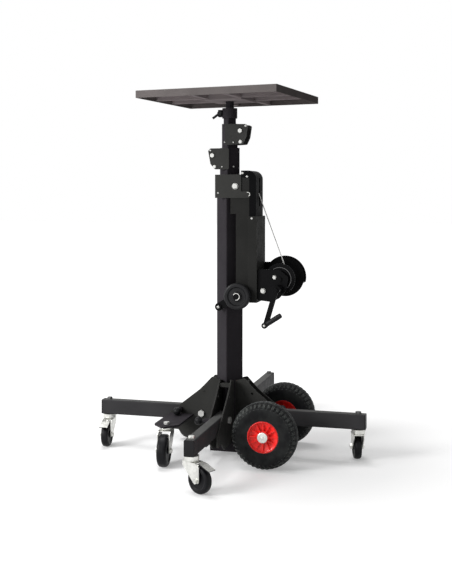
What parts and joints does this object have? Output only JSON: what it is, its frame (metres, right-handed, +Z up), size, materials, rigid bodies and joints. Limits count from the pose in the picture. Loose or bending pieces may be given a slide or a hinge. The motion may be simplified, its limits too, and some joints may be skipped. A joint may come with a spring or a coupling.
{
  "type": "manual stacker",
  "caption": "Hand-cranked telescopic mast lift with a swivelling flat table, side winch, folding castored legs and two pneumatic transport wheels.",
  "frame": {"origin": "floor level, midway between the outermost points of the legs and castors; the mast's axis is at negative Y from it because the rear leg is longer", "axes": "+Z up, +X along the right leg, +Y along the longer rear leg"},
  "size_m": [1.122, 1.3625, 1.478],
  "materials": {
    "black_steel": "satin powder coat",
    "dark_steel": "satin black",
    "zinc": "bright zinc plate",
    "tyre": "matt rubber",
    "red_rim": "gloss red paint",
    "black_plastic": "moulded black plastic",
    "wire": "galvanised wire rope"
  },
  "bodies": {
    "base": {"gusset_plates": "black_steel", "base_box": "black_steel", "wheel_arms": "black_steel", "wheel_axles": "zinc", "castor_plates": "black_steel", "frame_bolts": "zinc", "lock_sleeves": "zinc", "mast_tube": "black_steel", "head_bracket": "black_steel", "winch_post": "black_steel", "pulley_cover": "dark_steel", "winch_base": "dark_steel", "winch_frame": "dark_steel", "lift_cable": "wire", "roller_arm": "black_steel"},
    "first_stage": {"stage_a": "black_steel", "stage_a_bracket": "black_steel"},
    "second_stage": {"stage_b": "black_steel", "stage_b_bracket": "black_steel"},
    "third_stage": {"stage_c": "black_steel", "clamp_collar": "black_steel"},
    "table": {"table_post": "black_steel", "table_frame": "black_steel", "table_top": "black_steel"},
    "clamp_lever": {"clamp_lever": "black_steel"},
    "top_pulley": {"top_pulley": "dark_steel"},
    "stage_a_pulley": {"stage_a_pulley": "dark_steel"},
    "stage_b_pulley": {"stage_b_pulley": "dark_steel"},
    "drum": {"drum": "dark_steel"},
    "crank": {"crank": "dark_steel"},
    "grip": {"grip": "black_plastic"},
    "roller": {"roller": "black_plastic"},
    "left_leg": {"leg_left": "black_steel"},
    "left_lock_knob": {"lock_knob_left": "black_plastic"},
    "left_fork": {"fork_left": "zinc"},
    "left_castor": {"castor_left": "tyre"},
    "left_pedal": {"pedal_left": "black_plastic"},
    "front_leg": {"leg_front": "black_steel"},
    "front_lock_knob": {"lock_knob_front": "black_plastic"},
    "front_fork": {"fork_front": "zinc"},
    "front_castor": {"castor_front": "tyre"},
    "front_pedal": {"pedal_front": "black_plastic"},
    "right_leg": {"leg_right": "black_steel"},
    "right_lock_knob": {"lock_knob_right": "black_plastic"},
    "right_fork": {"fork_right": "zinc"},
    "right_castor": {"castor_right": "tyre"},
    "right_pedal": {"pedal_right": "black_plastic"},
    "rear_leg": {"leg_rear": "black_steel"},
    "rear_lock_knob": {"lock_knob_rear": "black_plastic"},
    "rear_fork": {"fork_rear": "zinc"},
    "rear_castor": {"castor_rear": "tyre"},
    "rear_pedal": {"pedal_rear": "black_plastic"},
    "mid_fork_front": {"mid_fork_front": "zinc"},
    "mid_castor_front": {"mid_castor_front": "tyre"},
    "wheel_front": {"tyre_front": "tyre", "rim_front": "red_rim"},
    "mid_fork_rear": {"mid_fork_rear": "zinc"},
    "mid_castor_rear": {"mid_castor_rear": "tyre"},
    "wheel_rear": {"tyre_rear": "tyre", "rim_rear": "red_rim"}
  },
  "joints": [
    {"name": "lift_first", "type": "slide", "parent": "base", "child": "first_stage", "axis": [0, 0, 1], "range_m": [0, 0.8]},
    {"name": "lift_second", "type": "slide", "parent": "first_stage", "child": "second_stage", "axis": [0, 0, 1], "range_m": [0, 0.8]},
    {"name": "lift_third", "type": "slide", "parent": "second_stage", "child": "third_stage", "axis": [0, 0, 1], "range_m": [0, 0.8]},
    {"name": "drum_turn", "type": "hinge", "parent": "base", "child": "drum", "pos_m": [0.221, -0.08905, 0.724], "axis": [0, 1, 0], "range_deg": [0, 1684]},
    {"name": "crank_turn", "type": "hinge", "parent": "base", "child": "crank", "pos_m": [0.221, -0.08905, 0.688], "axis": [0, 1, 0], "range_deg": [-3363, 0]},
    {"name": "top_pulley_turn", "type": "hinge", "parent": "base", "child": "top_pulley", "pos_m": [0.07313, -0.08905, 1.124], "axis": [0, 1, 0], "range_deg": [0, 1702.7]},
    {"name": "stage_a_pulley_turn", "type": "hinge", "parent": "first_stage", "child": "stage_a_pulley", "pos_m": [-0.06184, -0.08905, 1.223], "axis": [0, 1, 0], "range_deg": [-3530.9, 0]},
    {"name": "stage_b_pulley_turn", "type": "hinge", "parent": "second_stage", "child": "stage_b_pulley", "pos_m": [0.05335, -0.08905, 1.323], "axis": [0, 1, 0], "range_deg": [0, 3530.9]},
    {"name": "grip_turn", "type": "hinge", "parent": "crank", "child": "grip", "pos_m": [0.179, -0.08905, 0.54713], "axis": [0, 1, 0], "continuous": true},
    {"name": "table_swivel", "type": "hinge", "parent": "third_stage", "child": "table", "pos_m": [0, -0.08905, 1.377], "axis": [0, 0, 1], "continuous": true},
    {"name": "clamp_lever_turn", "type": "hinge", "parent": "third_stage", "child": "clamp_lever", "pos_m": [-0.038, -0.08905, 1.3975], "axis": [0, 1, 0], "range_deg": [-60, 60]},
    {"name": "roller_turn", "type": "hinge", "parent": "base", "child": "roller", "pos_m": [0.056, -0.18232, 0.654], "axis": [0, 1, 0], "continuous": true},
    {"name": "left_leg_fold", "type": "hinge", "parent": "base", "child": "left_leg", "pos_m": [-0.114, -0.08905, 0.16], "axis": [0, 1, 0], "range_deg": [0, 90]},
    {"name": "left_lock_pull", "type": "slide", "parent": "base", "child": "left_lock_knob", "axis": [0, -1, 0], "range_m": [0, 0.012], "stiffness_N_per_m": 400, "springref_m": -0.005},
    {"name": "left_castor_swivel", "type": "hinge", "parent": "left_leg", "child": "left_fork", "pos_m": [-0.53, -0.08905, 0.13], "axis": [0, 0, 1], "continuous": true},
    {"name": "left_castor_roll", "type": "hinge", "parent": "left_fork", "child": "left_castor", "pos_m": [-0.52561, -0.13082, 0.05], "axis": [0.9945, 0.1045, 0], "continuous": true},
    {"name": "left_brake", "type": "hinge", "parent": "left_fork", "child": "left_pedal", "pos_m": [-0.52477, -0.13878, 0.106], "axis": [0.9945, 0.1045, 0], "range_deg": [-18, 0]},
    {"name": "front_leg_fold", "type": "hinge", "parent": "base", "child": "front_leg", "pos_m": [0, -0.20305, 0.16], "axis": [-1, 0, 0], "range_deg": [0, 90]},
    {"name": "front_lock_pull", "type": "slide", "parent": "base", "child": "front_lock_knob", "axis": [-1, 0, 0], "range_m": [0, 0.012], "stiffness_N_per_m": 400, "springref_m": -0.005},
    {"name": "front_castor_swivel", "type": "hinge", "parent": "front_leg", "child": "front_fork", "pos_m": [0, -0.61905, 0.13], "axis": [0, 0, 1], "continuous": true},
    {"name": "front_castor_roll", "type": "hinge", "parent": "front_fork", "child": "front_castor", "pos_m": [0.03742, -0.63812, 0.05], "axis": [0.454, 0.891, 0], "continuous": true},
    {"name": "front_brake", "type": "hinge", "parent": "front_fork", "child": "front_pedal", "pos_m": [0.04455, -0.64175, 0.106], "axis": [0.454, 0.891, 0], "range_deg": [-18, 0]},
    {"name": "right_leg_fold", "type": "hinge", "parent": "base", "child": "right_leg", "pos_m": [0.114, -0.08905, 0.16], "axis": [0, -1, 0], "range_deg": [0, 90]},
    {"name": "right_lock_pull", "type": "slide", "parent": "base", "child": "right_lock_knob", "axis": [0, 1, 0], "range_m": [0, 0.012], "stiffness_N_per_m": 400, "springref_m": -0.005},
    {"name": "right_castor_swivel", "type": "hinge", "parent": "right_leg", "child": "right_fork", "pos_m": [0.53, -0.08905, 0.13], "axis": [0, 0, 1], "continuous": true},
    {"name": "right_castor_roll", "type": "hinge", "parent": "right_fork", "child": "right_castor", "pos_m": [0.51913, -0.04848, 0.05], "axis": [-0.9659, -0.2588, 0], "continuous": true},
    {"name": "right_brake", "type": "hinge", "parent": "right_fork", "child": "right_pedal", "pos_m": [0.51706, -0.04075, 0.106], "axis": [-0.9659, -0.2588, 0], "range_deg": [-18, 0]},
    {"name": "rear_leg_fold", "type": "hinge", "parent": "base", "child": "rear_leg", "pos_m": [0, 0.02495, 0.16], "axis": [1, 0, 0], "range_deg": [0, 90]},
    {"name": "rear_lock_pull", "type": "slide", "parent": "base", "child": "rear_lock_knob", "axis": [-1, 0, 0], "range_m": [0, 0.012], "stiffness_N_per_m": 400, "springref_m": -0.005},
    {"name": "rear_castor_swivel", "type": "hinge", "parent": "rear_leg", "child": "rear_fork", "pos_m": [0, 0.64995, 0.13], "axis": [0, 0, 1], "continuous": true},
    {"name": "rear_castor_roll", "type": "hinge", "parent": "rear_fork", "child": "rear_castor", "pos_m": [0.03637, 0.62895, 0.05], "axis": [0.5, 0.866, 0], "continuous": true},
    {"name": "rear_brake", "type": "hinge", "parent": "rear_fork", "child": "rear_pedal", "pos_m": [0.0433, 0.62495, 0.106], "axis": [0.5, 0.866, 0], "range_deg": [-18, 0]},
    {"name": "mid_swivel_front", "type": "hinge", "parent": "base", "child": "mid_fork_front", "pos_m": [-0.2, -0.30905, 0.147], "axis": [0, 0, 1], "continuous": true},
    {"name": "mid_roll_front", "type": "hinge", "parent": "mid_fork_front", "child": "mid_castor_front", "pos_m": [-0.1954, -0.35281, 0.0625], "axis": [0.9945, 0.1045, 0], "continuous": true},
    {"name": "wheel_roll_front", "type": "hinge", "parent": "base", "child": "wheel_front", "pos_m": [0.192, -0.28105, 0.13], "axis": [0, 1, 0], "continuous": true},
    {"name": "mid_swivel_rear", "type": "hinge", "parent": "base", "child": "mid_fork_rear", "pos_m": [-0.2, 0.13095, 0.147], "axis": [0, 0, 1], "continuous": true},
    {"name": "mid_roll_rear", "type": "hinge", "parent": "mid_fork_rear", "child": "mid_castor_rear", "pos_m": [-0.22396, 0.09405, 0.0625], "axis": [0.8387, -0.5446, 0], "continuous": true},
    {"name": "wheel_roll_rear", "type": "hinge", "parent": "base", "child": "wheel_rear", "pos_m": [0.192, 0.10295, 0.13], "axis": [0, 1, 0], "continuous": true}
  ],
  "couplings": [
    {"joint": "lift_second", "follows": "lift_first", "ratio": 1},
    {"joint": "lift_third", "follows": "lift_first", "ratio": 1},
    {"joint": "drum_turn", "follows": "lift_first", "rad_per_m": 36.63},
    {"joint": "crank_turn", "follows": "lift_first", "rad_per_m": -73.26},
    {"joint": "top_pulley_turn", "follows": "lift_first", "rad_per_m": 37.037},
    {"joint": "stage_a_pulley_turn", "follows": "lift_first", "rad_per_m": -76.923},
    {"joint": "stage_b_pulley_turn", "follows": "lift_first", "rad_per_m": 76.923}
  ]
}
